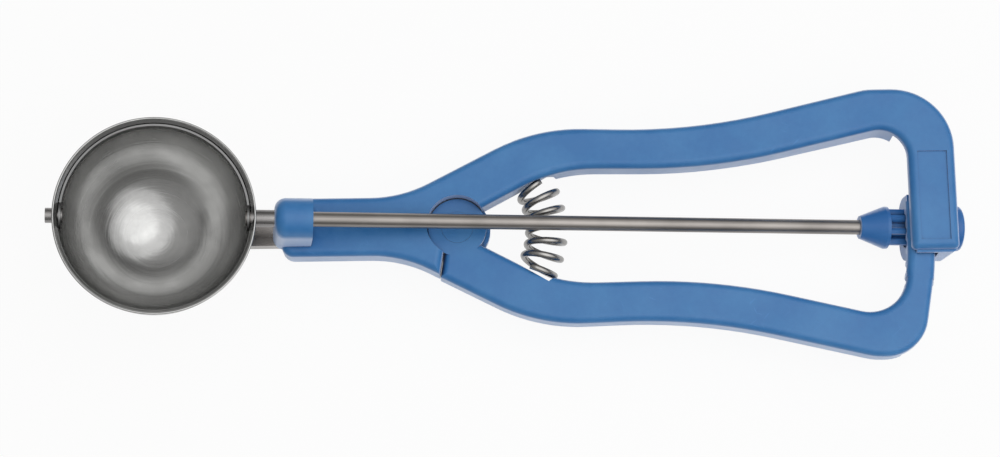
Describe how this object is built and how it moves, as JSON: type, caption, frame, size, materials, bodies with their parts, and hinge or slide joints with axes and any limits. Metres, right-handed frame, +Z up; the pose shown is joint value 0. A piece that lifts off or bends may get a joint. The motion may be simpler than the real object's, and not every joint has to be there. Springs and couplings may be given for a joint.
{
  "type": "lever ice cream scoop",
  "caption": "Squeeze-handle ice cream scoop: a round steel bowl whose curved scraper sweeps the ball out, driven by a rod, pinion and rack from the sprung handle.",
  "frame": {"origin": "middle of the bounding box along X and Y, at the lowest point", "axes": "+X along the handle from the bowl to the toothed end, +Y in the squeeze plane towards the upper handle half, +Z up out of the handle's front face and the bowl's mouth"},
  "size_m": [0.2288, 0.0682, 0.0368],
  "materials": {
    "bowl_steel": "polished",
    "blade_steel": "satin",
    "rod_steel": "satin",
    "spring_steel": "bright",
    "upper_plastic": "semi-gloss",
    "lower_plastic": "semi-gloss",
    "drive_plastic": "semi-gloss"
  },
  "bodies": {
    "frame": {"bowl": "bowl_steel", "bowl_tang": "rod_steel", "rod_bush": "rod_steel", "tip_rivet": "rod_steel", "upper_handle": "upper_plastic", "hinge_pin": "upper_plastic", "return_spring": "spring_steel"},
    "lower": {"lower_handle": "lower_plastic"},
    "drive": {"drive_rod": "rod_steel", "scraper_blade": "blade_steel", "pinion_sleeve": "drive_plastic", "end_cap": "drive_plastic"}
  },
  "joints": [
    {"name": "hub_squeeze", "type": "hinge", "parent": "frame", "child": "lower", "pos_m": [-0.01406, 0, 0], "axis": [0, 0, 1], "range_deg": [0, 6], "stiffness_Nm_per_rad": 12, "springref_deg": -4.58, "deforming": ["return_spring"]},
    {"name": "scraper_turn", "type": "hinge", "parent": "frame", "child": "drive", "pos_m": [-0.01406, 0, 0.02159], "axis": [-0.9924, 0, 0.1227], "range_deg": [0, 180]}
  ],
  "couplings": [
    {"joint": "scraper_turn", "follows": "hub_squeeze", "ratio": 30}
  ]
}
